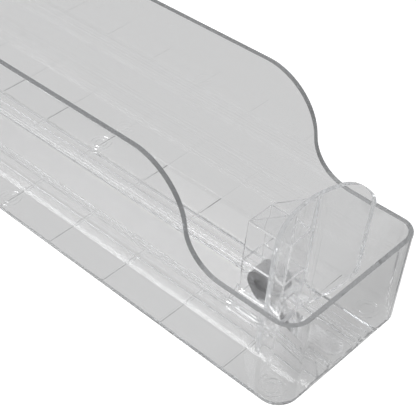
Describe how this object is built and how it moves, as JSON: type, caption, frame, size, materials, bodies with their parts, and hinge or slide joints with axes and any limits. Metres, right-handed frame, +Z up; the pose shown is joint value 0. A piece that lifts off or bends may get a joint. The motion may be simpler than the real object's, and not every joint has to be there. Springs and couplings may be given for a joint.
{
  "type": "fridge can organizer",
  "caption": "Long clear bin with high side walls that sweep down to a low front, holding a spring-loaded pusher that slides on rails and feeds cans forward",
  "frame": {"origin": "on the surface that the ring feet stand on, under the middle of the bin's box", "axes": "X across the bin, Y along its length with the low open front towards -Y, Z up"},
  "size_m": [0.082, 0.4, 0.1008],
  "materials": {
    "clear_bin": "clear moulded plastic, polished",
    "clear_pusher": "clear moulded plastic, polished",
    "spring_steel": "polished spring steel"
  },
  "bodies": {
    "tray": {"bin": "clear_bin", "spring_strip": "spring_steel"},
    "slider": {"pusher": "clear_pusher"},
    "coil": {"spring_coil": "spring_steel"}
  },
  "joints": [
    {"name": "pusher_slide", "type": "slide", "parent": "tray", "child": "slider", "axis": [0, 1, 0], "range_m": [0, 0.325], "stiffness_N_per_m": 3, "springref_m": -0.8, "deforming": ["spring_strip"]},
    {"name": "coil_turn", "type": "hinge", "parent": "slider", "child": "coil", "pos_m": [0, -0.1492, 0.0202], "axis": [1, 0, 0], "range_deg": [-2400, 0]}
  ],
  "couplings": [
    {"joint": "coil_turn", "follows": "pusher_slide", "rad_per_m": -122.7}
  ]
}
